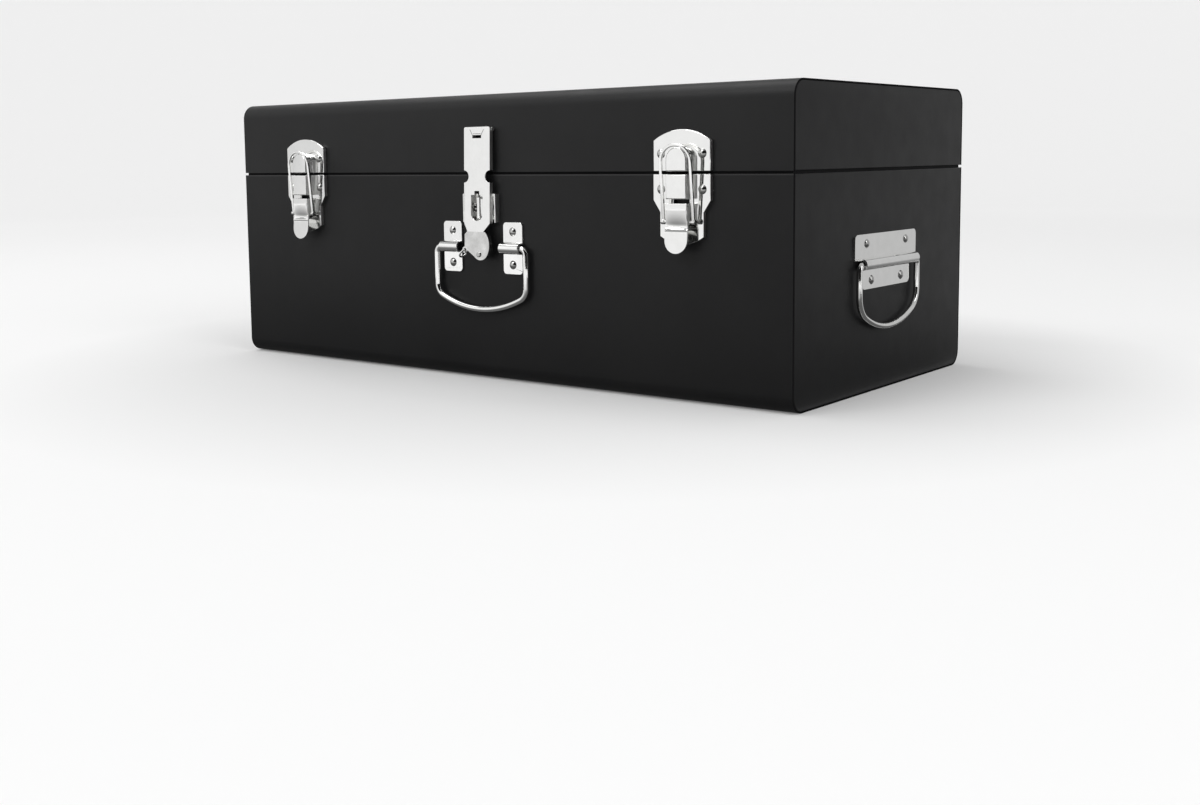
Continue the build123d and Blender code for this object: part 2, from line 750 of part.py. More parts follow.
def build_shield():
    """The teardrop cover: a shallow cup riveted over the strap's tail, with a lug for the ring."""
    lug_place = (hasp_x + lug_x, shield_top - lug_drop)
    with BuildPart() as shield:
        with BuildSketch(front_plane(strap_front)) as cup:
            shield_outline()
        extrude(cup.sketch, amount=shield_sheet)
        extrude(cup.sketch, amount=-shield_depth + shield_sheet)
        with BuildSketch(front_plane(strap_front + shield_sheet - strap_sheet)) as lug:
            with Locations(lug_place):
                Circle(lug_radius)
        extrude(lug.sketch, amount=strap_sheet)
        with BuildSketch(front_plane(strap_front)) as hollow:
            shield_outline(shield_sheet)
        extrude(hollow.sketch, amount=-shield_depth, mode=Mode.SUBTRACT)
        with BuildSketch(front_plane(strap_front)) as mouth:
            with Locations((hasp_x + (tail_left + tail_right) / 2, shield_top)):
                Rectangle(tail_right - tail_left + 2 * staple_gap, shield_height / 2)
        extrude(mouth.sketch, amount=-shield_depth, mode=Mode.SUBTRACT)
        with BuildSketch(front_plane(strap_front + shield_sheet)) as holes:
            with Locations(lug_place):
                Circle(lug_bore)
            with Locations((hasp_x + tongue_x, tongue_height)):
                Circle(small_shank + shank_clearance)
        extrude(holes.sketch, amount=-2 * shield_depth, mode=Mode.SUBTRACT)
    save_leaning(shield, "hasp_shield")
    with BuildPart() as rivet:
        rivet_place = (hasp_x + tongue_x, tongue_height)
        for out, radius, length in (
            (strap_front + shield_sheet, small_head, small_shank),
            (strap_front - strap_sheet, small_shank, strap_sheet + shield_sheet),
            (strap_front - strap_sheet - small_shank, small_head, small_shank),
        ):
            with BuildSketch(front_plane(out)):
                with Locations(rivet_place):
                    Circle(radius)
            extrude(amount=length)
        fillet(rivet.edges().filter_by(GeomType.CIRCLE).sort_by(Axis.Y)[0], small_head_round)
    save_leaning(rivet, "hasp_shield_rivet")
    lug_middle = strap_front + shield_sheet - strap_sheet / 2
    across, down = ring_slant
    ring_centre = (lug_place[0] - ring_radius * across, front - lug_middle, lug_place[1] - ring_radius * down)
    with BuildPart() as ring:
        with BuildSketch(Plane(origin=ring_centre, x_dir=(across, 0, down), z_dir=(0, -1, 0))):
            with Locations((ring_radius, 0)):
                Circle(ring_wire_radius)
        revolve(axis=Axis(ring_centre, (-down, 0, across)))
    save_leaning(ring, "hasp_ring")


def build_hasp_plate():
    """The plate on the lid that carries the strap's pin in a curled knuckle."""
    with BuildPart() as plate:
        with BuildSketch(front_plane(0)):
            with Locations((hasp_x, (hasp_plate_bottom + strap_pin_height) / 2)):
                Rectangle(hasp_plate_width, strap_pin_height - hasp_plate_bottom)
        extrude(amount=hasp_plate_sheet)
        with BuildSketch(side_section(hasp_x + strap_knuckle_width / 2)):
            with Locations((strap_pin_out, strap_pin_height)):
                Circle(strap_knuckle_radius)
        extrude(amount=strap_knuckle_width)
        with BuildSketch(side_section(hasp_x + strap_width)):
            with Locations((strap_pin_out, strap_pin_height)):
                Circle(strap_pin_radius + running_clearance)
        extrude(amount=2 * strap_width, mode=Mode.SUBTRACT)
        with BuildSketch(front_plane(0)):
            with Locations((hasp_x, strap_top - window_drop)):
                Rectangle(window_width + window_height, 2 * window_height)
        extrude(amount=hasp_plate_sheet, mode=Mode.SUBTRACT)
        cut_rivet_holes(front_plane(hasp_plate_sheet), hasp_rivets, hasp_plate_sheet)
    save(plate, "hasp_plate")


def build_catch():
    """The plate on the base with two turned-up cheeks, and the staple that stands through it."""
    with BuildPart() as plate:
        with BuildSketch(front_plane(0)):
            with Locations((catch_x, catch_mid)):
                Rectangle(catch_width, catch_height)
        extrude(amount=catch_cheek)
        with BuildSketch(front_plane(hasp_plate_sheet)):
            with Locations((catch_x, catch_mid)):
                Rectangle(catch_width - 2 * strap_sheet, catch_height)
        extrude(amount=catch_cheek, mode=Mode.SUBTRACT)
        cut_staple_holes(front_plane(hasp_plate_sheet), hasp_plate_sheet)
        cut_rivet_holes(front_plane(hasp_plate_sheet), catch_rivets, hasp_plate_sheet)
    save(plate, "hasp_catch_plate")
    with BuildPart() as staple:
        with BuildSketch(side_section(hasp_x + staple_width / 2)):
            reach = staple_out + sheet + staple_clinch
            with Locations((staple_out - reach / 2, staple_bottom + staple_height / 2)):
                Rectangle(reach, staple_height)
            with Locations((staple_out - staple_strip - reach / 2, staple_bottom + staple_height / 2)):
                Rectangle(reach, staple_height - 2 * staple_strip, mode=Mode.SUBTRACT)
        extrude(amount=staple_width)
        bend = staple.edges().filter_by(Axis.X).group_by(Axis.Y)[0]
        fillet(bend, staple_bend)
    save(staple, "hasp_staple")


build_strap()
build_shield()
build_hasp_plate()
build_catch()
save(round_pin(hasp_x, (front - strap_pin_out, strap_pin_height), strap_width, strap_pin_radius,
               strap_pin_radius + pin_overhang, pin_overhang), "hasp_pin")
rivets("hasp_plate_rivets", front_plane(hasp_plate_sheet), hasp_rivets, hasp_plate_sheet + sheet)
rivets("hasp_catch_rivets", front_plane(hasp_plate_sheet), catch_rivets, hasp_plate_sheet + sheet)


# Handles
def build_bracket(name, plane, centre, upper, lower, corner, barrel_width, wire_radius, holes):
    """A sheet pressed round the ends of a bail, with a riveted pad above and one below."""
    x, z = centre
    inner = wire_radius + barrel_clearance
    outer = inner + barrel_wall
    across = Plane(origin=plane.from_local_coords((x + barrel_width / 2, z, 0)),
                   x_dir=plane.z_dir, z_dir=-plane.x_dir)
    with BuildPart() as bracket:
        with BuildSketch(across):
            with Locations((bail_stand_off, 0)):
                Circle(outer)
            with Locations((bail_stand_off / 2, 0)):
                Rectangle(bail_stand_off, 2 * outer)
            with Locations((bail_stand_off, 0)):
                Circle(inner, mode=Mode.SUBTRACT)
            Rectangle(2 * bail_stand_off, 2 * inner, mode=Mode.SUBTRACT)
        extrude(amount=barrel_width)
        for direction, (pad_width, pad_height) in ((1, upper), (-1, lower)):
            tall = pad_height + barrel_wall
            with BuildSketch(plane) as pad:
                with Locations((x, z + direction * (inner + tall / 2))):
                    Rectangle(pad_width, tall)
                fillet(pad.vertices().group_by(Axis.Y)[-1 if direction > 0 else 0], corner)
            extrude(amount=bracket_sheet)
        with BuildSketch(plane):
            with Locations(*holes):
                Circle(shank_radius + shank_clearance)
        extrude(amount=bracket_sheet, mode=Mode.SUBTRACT)
    save(bracket, name)


def build_bail(name, plane, centre, span, drop, corner, bottom, end, wire_radius):
    """A bail: one wire with a bowed grip, round corners and both ends turned in to the barrel."""
    x, z = centre
    half = span / 2
    arc_z = z - drop + bottom
    corner_z = arc_z - ((bottom - corner) ** 2 - (half - corner) ** 2) ** 0.5
    reach = (half - corner) * bottom / (bottom - corner)
    touch_z = arc_z + (corner_z - arc_z) * bottom / (bottom - corner)
    with BuildPart() as bail:
        with BuildLine(plane) as path:
            Line((x - half + end, z), (x - half + bail_bend, z))
            TangentArc((x - half + bail_bend, z), (x - half, z - bail_bend), tangent=-plane.x_dir)
            Line((x - half, z - bail_bend), (x - half, corner_z))
            TangentArc((x - half, corner_z), (x - reach, touch_z), tangent=-plane.y_dir)
            ThreePointArc((x - reach, touch_z), (x, z - drop), (x + reach, touch_z))
            TangentArc((x + half, corner_z), (x + reach, touch_z), tangent=-plane.y_dir)
            Line((x + half, corner_z), (x + half, z - bail_bend))
            TangentArc((x + half - bail_bend, z), (x + half, z - bail_bend), tangent=plane.x_dir)
            Line((x + half - bail_bend, z), (x + half - end, z))
        for piece in path.edges():
            with BuildSketch(Plane(origin=piece @ 0, x_dir=plane.z_dir, z_dir=piece % 0)):
                Circle(wire_radius)
            sweep(path=piece)
    save(bail, name)


for side_name, x in bracket_xs.items():
    pad = (bracket_width, bracket_pad)
    build_bracket(f"front_bracket_{side_name}", front_plane(0), (x, front_pivot_height), pad, pad,
                  bracket_corner, bracket_width, front_wire_radius, bracket_rivets(x))
build_bail("front_bail", front_plane(bail_stand_off), (front_handle_x, front_pivot_height), front_bail_span,
           front_bail_drop, front_bail_corner, front_bail_sweep, front_bail_end, front_wire_radius)
rivets("front_handle_rivets", front_plane(bracket_sheet),
       bracket_rivets(bracket_xs["left"]) + bracket_rivets(bracket_xs["right"]), bracket_sheet + sheet)
for side, side_name in ((-1, "left"), (1, "right")):
    pivot = (side * side_handle_y, side_pivot_height)
    build_bracket(f"side_plate_{side_name}", end_plane(side, 0), pivot,
                  (side_upper_width, side_upper_height), (side_lower_width, side_lower_height),
                  side_corner, side_barrel_width, side_wire_radius, side_rivets(side))
    build_bail(f"side_bail_{side_name}", end_plane(side, bail_stand_off), pivot, side_bail_span,
               side_bail_drop, side_bail_corner, side_bail_sweep, side_bail_end, side_wire_radius)
    rivets(f"side_plate_rivets_{side_name}", end_plane(side, bracket_sheet), side_rivets(side),
           bracket_sheet + sheet)


# Lid stays
def stay_point(angle):
    """Where a stud stands, in Y and Z, at an angle above the level of the back hinge."""
    return (hinge_axis_y - stay_radius * cos(radians(angle)),
            hinge_axis_z + stay_radius * sin(radians(angle)))


def build_stud(name, side, place):
    """A headed stud, welded to the inside of an end panel, that an arm slides or turns on."""
    y, z = place
    start = sheet
    with BuildPart() as stud:
        for radius, length in (
            (stud_shoulder_radius, stay_inset - stud_side_clearance),
            (stud_radius, stay_thickness + 2 * stud_side_clearance),
            (stud_shoulder_radius, stud_head),
        ):
            with BuildSketch(end_plane(side, -start)):
                with Locations((side * y, z)):
                    Circle(radius)
            extrude(amount=-length)
            start += length
    save(stud, name)


def build_arm(name, side):
    """The slotted arm: it turns on the lid's stud and slides on the base's."""
    y, z = stay_point(stay_lid_angle)
    base_y, base_z = stay_point(stay_base_angle)
    spread = stay_lid_angle - stay_base_angle
    near = 2 * stay_radius * sin(radians(spread / 2))
    far = 2 * stay_radius * sin(radians((spread + lid_open_angle) / 2))
    plane = Plane(origin=(side * (half_width - sheet - stay_inset), y, z),
                  x_dir=(0, base_y - y, base_z - z), z_dir=(-side, 0, 0))
    with BuildPart() as arm:
        with BuildSketch(plane):
            with Locations((far / 2, 0)):
                SlotCenterToCenter(far, stay_width)
            Circle(stud_radius + stud_clearance, mode=Mode.SUBTRACT)
            with Locations(((near + far) / 2, 0)):
                SlotCenterToCenter(far - near, 2 * (stud_radius + stud_clearance), mode=Mode.SUBTRACT)
        extrude(amount=stay_thickness)
    save(arm, name)


for side, side_name in ((-1, "left"), (1, "right")):
    build_arm(f"stay_arm_{side_name}", side)
    build_stud(f"stay_lid_stud_{side_name}", side, stay_point(stay_lid_angle))
    build_stud(f"stay_base_stud_{side_name}", side, stay_point(stay_base_angle))
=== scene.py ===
"""Looks for the metal storage trunk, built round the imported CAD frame."""
import json
from math import atan2, cos, degrees, pi, radians, sin

import bmesh
import bpy
from mathutils import Matrix, Vector


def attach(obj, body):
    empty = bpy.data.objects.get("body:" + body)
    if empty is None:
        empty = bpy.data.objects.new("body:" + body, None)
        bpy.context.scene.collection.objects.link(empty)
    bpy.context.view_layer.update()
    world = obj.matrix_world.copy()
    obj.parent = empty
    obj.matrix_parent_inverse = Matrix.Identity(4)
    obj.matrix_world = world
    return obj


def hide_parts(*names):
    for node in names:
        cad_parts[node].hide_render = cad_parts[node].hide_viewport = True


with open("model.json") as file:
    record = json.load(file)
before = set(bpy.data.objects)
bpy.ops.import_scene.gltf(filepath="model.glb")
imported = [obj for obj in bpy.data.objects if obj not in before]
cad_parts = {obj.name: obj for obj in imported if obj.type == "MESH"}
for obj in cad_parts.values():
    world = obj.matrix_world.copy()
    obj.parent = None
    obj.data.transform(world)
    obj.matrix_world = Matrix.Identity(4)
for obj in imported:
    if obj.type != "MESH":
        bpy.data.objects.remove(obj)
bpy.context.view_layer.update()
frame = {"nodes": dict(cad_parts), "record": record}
nodes = frame["nodes"]
bodies = frame["record"]["behaviour"]["bodies"]
node_body = {node: body for body, members in bodies.items() for node in members}
SIDES = ((-1, "left"), (1, "right"))


def new_object(name, data):
    thing = bpy.data.objects.new(name, data)
    bpy.context.scene.collection.objects.link(thing)
    return thing


# The camera that the photograph was fitted with
PHOTO_WIDTH = 1200
CAMERA_PLACE = Vector((0.64798, -0.85215, 0.15868))
CAMERA_YAW = radians(-39.036)
CAMERA_PITCH = radians(-6.105)
CAMERA_ROLL = radians(-0.785)
FOCAL_PIXELS = 1360.72
SHIFT = (0.0481, -0.0841)
SENSOR = 36.0
NEAR_CLIP = 0.01


def make_camera():
    forward = Vector((
        sin(CAMERA_YAW) * cos(CAMERA_PITCH),
        cos(CAMERA_YAW) * cos(CAMERA_PITCH),
        sin(CAMERA_PITCH),
    ))
    level = Vector((cos(CAMERA_YAW), -sin(CAMERA_YAW), 0))
    upright = level.cross(forward)
    right = level * cos(CAMERA_ROLL) + upright * sin(CAMERA_ROLL)
    up = upright * cos(CAMERA_ROLL) - level * sin(CAMERA_ROLL)
    data = bpy.data.cameras.new("camera")
    data.sensor_fit = "HORIZONTAL"
    data.sensor_width = SENSOR
    data.lens = FOCAL_PIXELS / PHOTO_WIDTH * SENSOR
    data.shift_x, data.shift_y = SHIFT
    data.clip_start = NEAR_CLIP
    camera = new_object("camera", data)
    turn = Matrix((right, up, -forward)).transposed().to_4x4()
    camera.matrix_world = Matrix.Translation(CAMERA_PLACE) @ turn
    bpy.context.scene.camera = camera


make_camera()

# Materials
# Sockets of the Mix node that it uses for colours
MIX_LOW = 6
MIX_HIGH = 7
MIX_RESULT = 2
# Noise mostly stays between these values
NOISE_RANGE = (0.3, 0.7)
TONE_DETAIL = 3.0
GLOSS_DETAIL = 4.0
RELIEF_DETAIL = 2.0


class Shader:
    """A small helper that adds nodes to one material and joins them."""

    def __init__(self, name):
        self.material = bpy.data.materials.new(name)
        self.material.use_nodes = True
        self.tree = self.material.node_tree
        self.bsdf = self.tree.nodes["Principled BSDF"]
        self.place = self.tree.nodes.new("ShaderNodeTexCoord").outputs["Object"]

    def add(self, kind, links=None, **values):
        """Adds a node, sets its options and sockets, and links what feeds it."""
        node = self.tree.nodes.new("ShaderNode" + kind)
        for key, value in values.items():
            if hasattr(node, key):
                setattr(node, key, value)
            else:
                node.inputs[key].default_value = value
        for key, source in (links or {}).items():
            self.tree.links.new(source, node.inputs[key])
        return node

    def noise(self, scale, detail=TONE_DETAIL, stretch=None):
        spot = self.place
        if stretch:
            spot = self.add("Mapping", {"Vector": spot}, Scale=stretch).outputs["Vector"]
        return self.add("TexNoise", {"Vector": spot}, Scale=scale, Detail=detail).outputs["Fac"]

    def spread(self, source, low, high, start=NOISE_RANGE[0], end=NOISE_RANGE[1]):
        """Carries the range from start to end over to the range from low to high."""
        node = self.add("MapRange", {"Value": source})
        for key, value in (("From Min", start), ("From Max", end), ("To Min", low), ("To Max", high)):
            node.inputs[key].default_value = value
        return node.outputs["Result"]

    def math(self, operation, *sources):
        node = self.add("Math", operation=operation)
        for source, socket in zip(sources, node.inputs):
            self.tree.links.new(source, socket)
        return node.outputs["Value"]

    def axis(self, source, name):
        return self.add("SeparateXYZ", {"Vector": source}).outputs[name]

    def colours(self, source, low, high):
        node = self.add("Mix", {"Factor": source}, data_type="RGBA")
        node.inputs[MIX_LOW].default_value = (*low, 1)
        node.inputs[MIX_HIGH].default_value = (*high, 1)
        return node.outputs[MIX_RESULT]

    def relief(self, scale, depth, strength, normal=None):
        """Bumps from noise, on top of the bumps that an earlier normal has."""
        links = {"Height": self.noise(scale, RELIEF_DETAIL)}
        if normal:
            links["Normal"] = normal
        return self.add("Bump", links, Distance=depth, Strength=strength).outputs["Normal"]

    def feed(self, **sources):
        """Links sources to the shader's sockets, with _ for each space in a name."""
        for key, source in sources.items():
            self.tree.links.new(source, self.bsdf.inputs[key.replace("_", " ")])

    def fix(self, **values):
        """Sets the shader's own sockets, with _ for each space in a name."""
        for key, value in values.items():
            self.bsdf.inputs[key.replace("_", " ")].default_value = value


# Noise scales, and relief as a noise scale, a depth in metres and a strength
PAINT_DRIFT = 9.0
PAINT_GLOSS = 60.0
PEEL_FINE = (900.0, 0.00012, 0.25)
PEEL_BROAD = (70.0, 0.0006, 0.12)
PLATE_DRIFT = 150.0
PLATE_WIPE = 260.0
WIPE_STRETCH = (1.0, 1.0, 0.12)
PLATE_RIPPLE = (220.0, 0.0005, 0.02)
PLATE_GRAIN = (2500.0, 0.00002, 0.1)
# How far roughness falls and rises
PAINT_ROUGH = (-0.03, 0.03)
PLATE_ROUGH = (-0.03, 0.05)
# Where the painted shade line along a wrap's ends begins, out from the middle, and where the painted
# highlight on the base's rim begins, up from the floor
WRAP_SEAM_SHADE = (0.2534, 0.2537)
BASE_RIM_HIGHLIGHT = (0.1452, 0.1455)
# How far a normal leans to ±X where a pressing's side wall begins
WALL_LEAN = (0.75, 0.95)


def paint(name, low, high, rough, sheen, wrap=False, rim_highlight=0.0):
    """Satin powder coat: fine orange peel and a slow drift of tone.

    A wrap is a bent sheet: its specular level falls to nothing at its ends, a painted shade line along the
    seams, and the base's has a painted highlight along its rim.
    """
    s = Shader(name)
    drift = s.spread(s.noise(PAINT_DRIFT), 0.0, 1.0)
    s.feed(Base_Color=s.colours(drift, low, high))
    gloss = s.noise(PAINT_GLOSS, GLOSS_DETAIL)
    s.feed(Roughness=s.spread(gloss, rough + PAINT_ROUGH[0], rough + PAINT_ROUGH[1]))
    peel = s.relief(*PEEL_FINE)
    s.feed(Normal=s.relief(*PEEL_BROAD, peel))
    if wrap:
        # Painted shade at the seams by the wrap's ends, and a painted highlight on the base's rim under the
        # seam
        ends = s.spread(s.math("ABSOLUTE", s.axis(s.place, "X")), 1.0, 0.0, *WRAP_SEAM_SHADE)
        rim_highlight_level = s.spread(s.axis(s.place, "Z"), sheen, rim_highlight or sheen, *BASE_RIM_HIGHLIGHT)
        s.feed(Specular_IOR_Level=s.math("MULTIPLY", ends, rim_highlight_level))
    else:
        s.fix(Specular_IOR_Level=sheen)
    return s.material


def plating(name, low, high, rough, walls=0.0):
    """Bright plate on pressed steel: soft ripples and faint wipe marks; its side walls may be duller."""
    s = Shader(name)
    s.feed(Base_Color=s.colours(s.spread(s.noise(PLATE_DRIFT), 0.0, 1.0), low, high))
    wipe = s.noise(PLATE_WIPE, GLOSS_DETAIL, WIPE_STRETCH)
    gloss = s.spread(wipe, rough + PLATE_ROUGH[0], rough + PLATE_ROUGH[1])
    if walls:
        facing = s.axis(s.add("TexCoord").outputs["Normal"], "X")
        dull = s.spread(s.math("ABSOLUTE", facing), 0.0, walls, *WALL_LEAN)
        gloss = s.math("ADD", gloss, dull)
    s.feed(Roughness=gloss)
    ripple = s.relief(*PLATE_RIPPLE)
    s.feed(Normal=s.relief(*PLATE_GRAIN, ripple))
    s.fix(Metallic=1.0)
    return s.material


# Two tones that a finish drifts between, and its roughness
CASE = ((0.0060, 0.0060, 0.0064), (0.0085, 0.0085, 0.0088), 0.43)
INSIDE = ((0.005, 0.005, 0.0055), (0.0075, 0.0075, 0.0078), 0.6)
BRIGHT = ((0.91, 0.91, 0.90), (0.95, 0.95, 0.94), 0.07)
WIRE = ((0.89, 0.89, 0.88), (0.93, 0.93, 0.92), 0.04)
# Painted shade: the rivets' nickel is the plates' nickel in a darker tone, a painted dark reflection on
# their heads
RIVET_SHADED = ((0.48, 0.48, 0.47), (0.58, 0.58, 0.57), 0.10)
COVER = ((0.60, 0.60, 0.59), (0.82, 0.82, 0.81), 0.10)
# Painted shade: the dark tone of the strips that stand for the shade in the strap's creases
CREASE = ((0.10, 0.10, 0.10), (0.16, 0.16, 0.16), 0.30)
STEEL = ((0.50, 0.50, 0.50), (0.58, 0.58, 0.58), 0.3)

# Copies of one powder coat that differ in painted light: the end panels' lower sheen is painted shade, the
# lid's higher sheen a painted highlight, and the base's rim a painted highlight
black = paint("case_black", *CASE, sheen=0.19)
lid_black = paint("case_black_lid", *CASE, sheen=0.24, wrap=True)
base_black = paint("case_black_base", *CASE, sheen=0.22, wrap=True, rim_highlight=0.5)
inner_black = paint("case_black_inside", *INSIDE, sheen=0.05)
nickel = plating("nickel", *BRIGHT, walls=0.24)
nickel_end = plating("nickel_end", *BRIGHT)
nickel_wire = plating("nickel_wire", *WIRE)
nickel_rivet_shaded = plating("nickel_rivet_shaded", *RIVET_SHADED)
nickel_cover = plating("nickel_cover", *COVER)
nickel_crease_shade = plating("nickel_crease_shade", *CREASE)
steel = plating("plain_steel", *STEEL)


def material_for(node):
    if node == "base_wrap":
        return base_black
    if node == "lid_wrap":
        return lid_black
    if node.startswith(("base_end", "lid_end", "hinge_")):
        return black
    if node == "hasp_shield":
        return nickel_cover
    if node == "base_lip":
        return inner_black
    if node.startswith("stay_"):
        return steel
    if "rivet" in node:
        return nickel_rivet_shaded
    if "bail" in node or "loop" in node or "ring" in node:
        return nickel_wire
    return nickel_end if node.startswith("side_plate") else nickel


def dress(piece, node):
    piece.data.materials.clear()
    piece.data.materials.append(material_for(node))


# Pieces with worked edges: a copy of each sheet metal node, its edges rounded
SHARP = radians(32)
FLAT = radians(0.5)
SAME_POINT = 1e-6
SHEET_SEGMENTS = 2
FINE_SEGMENTS = 3


def shade(work):
    """Smooth faces, with a hard line wherever two of them meet at a sharp angle."""
    for face in work.faces:
        face.smooth = True
    for edge in work.edges:
        edge.smooth = not (edge.is_manifold and edge.calc_face_angle(0) > SHARP)


def round_edges(piece, width, segments, limit=SHARP):
    bevel = piece.modifiers.new("edges", "BEVEL")
    bevel.width = width
    bevel.segments = segments
    bevel.limit_method = "ANGLE"
    bevel.angle_limit = limit


def rounded(node, width):
    """Stands for a CAD node: the same form with its coplanar faces joined and its edges rounded."""
    mesh = nodes[node].data.copy()
    work = bmesh.new()
    work.from_mesh(mesh)
    bmesh.ops.remove_doubles(work, verts=work.verts, dist=SAME_POINT)
    bmesh.ops.dissolve_limit(work, angle_limit=FLAT, verts=work.verts, edges=work.edges)
    shade(work)
    work.to_mesh(mesh)
    work.free()
    piece = new_object("v_" + node, mesh)
    round_edges(piece, width, SHEET_SEGMENTS)
    dress(piece, node)
    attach(piece, node_body[node])
    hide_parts(node)


# How far the edges of each form are rounded, in metres
EDGE = {
    "latch_keeper": 0.0004, "latch_plate": 0.0004,
    "hasp_strap": 0.0003, "hasp_shield": 0.0004, "hasp_plate": 0.0003, "hasp_catch_plate": 0.0003,
    "hasp_staple": 0.0003, "front_bracket": 0.0004, "side_plate": 0.0004, "stay_arm": 0.0003,
    "base_wrap": 0.0004, "lid_wrap": 0.0004, "base_end": 0.0004, "lid_end": 0.0004,
}
# Nodes that are built anew below
OWN = ("latch_lever_left", "latch_lever_right", "latch_loop_left", "latch_loop_right",
       "front_bail", "side_bail_left", "side_bail_right")
for node, piece in nodes.items():
    if node in OWN:
        continue
    form = node.removesuffix("_left").removesuffix("_right")
    if form in EDGE:
        rounded(node, EDGE[form])
    else:
        dress(piece, node)


# Wires, loops and levers, built finer than their solids. Millimetres here, metres in the mesh.
MM = 0.001
FRONT = -127.0
HALF_WIDTH = 254.0
HASP_X = 6.9
ALONG_X = Vector((1, 0, 0))
UPWARDS = Vector((0, 0, 1))
OUTWARDS = Vector((0, -1, 0))
WELD = 2e-6


def place(x, y, z):
    return Vector((x, y, z)) * MM


def arc(cx, cy, radius, start, end, steps):
    """Points on an arc, angles in degrees."""
    turns = (radians(start + (end - start) * i / steps) for i in range(steps + 1))
    return [(cx + radius * cos(a), cy + radius * sin(a)) for a in turns]


def rounded_box(half_across, half_deep, corner, steps):
    """The section of a strip or a wire: a rectangle with round corners, or a circle."""
    points = []
    for sx, sy, start in ((1, 1, 0), (-1, 1, 90), (-1, -1, 180), (1, -1, 270)):
        cx = sx * (half_across - corner)
        cy = sy * (half_deep - corner)
        points += arc(cx, cy, corner, start, start + 90, steps)
    return points


def skin(work, low, high):
    """Joins two rings of points by faces all the way round."""
    for k in range(len(low)):
        following = (k + 1) % len(low)
        work.faces.new((low[k], low[following], high[following], high[k]))


def sweep(work, path, origin, across, up, section):
    """Carries a section along a path in the plane of across and up."""
    normal = across.cross(up)
    rows = []
    for i, (a, b) in enumerate(path):
        before, after = path[max(i - 1, 0)], path[min(i + 1, len(path) - 1)]
        run = Vector((after[0] - before[0], after[1] - before[1])).normalized()
        side = across * run.y - up * run.x
        centre = origin + (across * a + up * b) * MM
        rows.append([work.verts.new(centre + (side * u + normal * v) * MM) for u, v in section])
    for low, high in zip(rows, rows[1:]):
        skin(work, low, high)
    work.faces.new(rows[0][::-1])
    work.faces.new(rows[-1])


def slab(work, outline, origin, across, up, thickness):
    """A flat plate: an outline in the plane of across and up, made thick along its normal."""
    normal = across.cross(up).normalized() * thickness * MM
    low = [work.verts.new(origin + (across * a + up * b) * MM) for a, b in outline]
    high = [work.verts.new(v.co + normal) for v in low]
    skin(work, low, high)
    work.faces.new(low[::-1])
    work.faces.new(high)


def mesh_object(name, work):
    mesh = bpy.data.meshes.new(name)
    work.to_mesh(mesh)
    work.free()
    return new_object(name, mesh)


def finish_piece(work, name, node, edge_width=0.0):
    """Cleans a mesh, shades it, and makes it a piece that stands for a node."""
    bmesh.ops.remove_doubles(work, verts=work.verts, dist=WELD)
    bmesh.ops.recalc_face_normals(work, faces=work.faces)
    shade(work)
    piece = mesh_object(name, work)
    if edge_width:
        round_edges(piece, edge_width, FINE_SEGMENTS)
    dress(piece, node)
    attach(piece, node_body[node])
    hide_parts(node)
    return piece


# Bails: measures of the wire's middle line, and its radius
BEND = 4.6
BAIL_STAND_OFF = 3.3
FRONT_BAIL = {"span": 83.5, "drop": 44.1, "corner": 9.0, "bottom": 85.0, "end": 19.0, "radius": 2.2}
FRONT_BAIL_Z = 94.8
SIDE_BAIL = {"span": 88.0, "drop": 43.3, "corner": 16.0, "bottom": 80.0, "end": 30.0, "radius": 2.0}
SIDE_BAIL_Y = -1.5
SIDE_BAIL_Z = 85.9
# Steps of the bends at the ends, of the corners, of the grip and of each quarter of the wire's section
BEND_STEPS = 10
CORNER_STEPS = 12
GRIP_STEPS = 30
WIRE_STEPS = 6


def bail(node, origin, across, span, drop, corner, bottom, end, radius):
    """A bail's wire: both ends turned in, straight legs, round corners and a bowed grip."""
    half = span / 2
    arc_z = bottom - drop
    corner_z = arc_z - ((bottom - corner) ** 2 - (half - corner) ** 2) ** 0.5
    turn = degrees(atan2(corner_z - arc_z, -(half - corner))) % 360
    left = [(end - half, 0)]
    left += arc(BEND - half, -BEND, BEND, 90, 180, BEND_STEPS)
    left += arc(corner - half, corner_z, corner, 180, turn, CORNER_STEPS)
    grip = arc(0, arc_z, bottom, turn, 540 - turn, GRIP_STEPS)
    path = left + grip[1:-1] + [(-a, b) for a, b in reversed(left)]
    work = bmesh.new()
    sweep(work, path, origin, across, UPWARDS, rounded_box(radius, radius, radius, WIRE_STEPS))
    finish_piece(work, "v_" + node, node)


bail("front_bail", place(HASP_X, FRONT - BAIL_STAND_OFF, FRONT_BAIL_Z), ALONG_X, **FRONT_BAIL)
for side, side_name in SIDES:
    bail_place = place(side * (HALF_WIDTH + BAIL_STAND_OFF), SIDE_BAIL_Y, SIDE_BAIL_Z)
    bail("side_bail_" + side_name, bail_place, Vector((0, side, 0)), **SIDE_BAIL)

# Latches. A pin's place and the loop's reach are a distance out and a height.
LATCH_X = 176.4
LEVER_PIN = (5.8, 125.8)
LOOP_PIN = (6.6, 116.3)
LOOP_REACH = (4.4, 47.2)
# The loop's strip: half its width and depth, its edges' radius, and the arch's radius at its middle line
LOOP_HALF = 1.0
LOOP_HALF_DEPTH = 0.9
LOOP_CORNER = 0.4
LOOP_CORNER_STEPS = 3
LOOP_MIDDLE = 11.1
LOOP_ARCH_STEPS = 28
LOOP_EYE = 1.7
EYE_TURN = 345
EYE_STEPS = 23
LOOP_EDGE = 0.0003


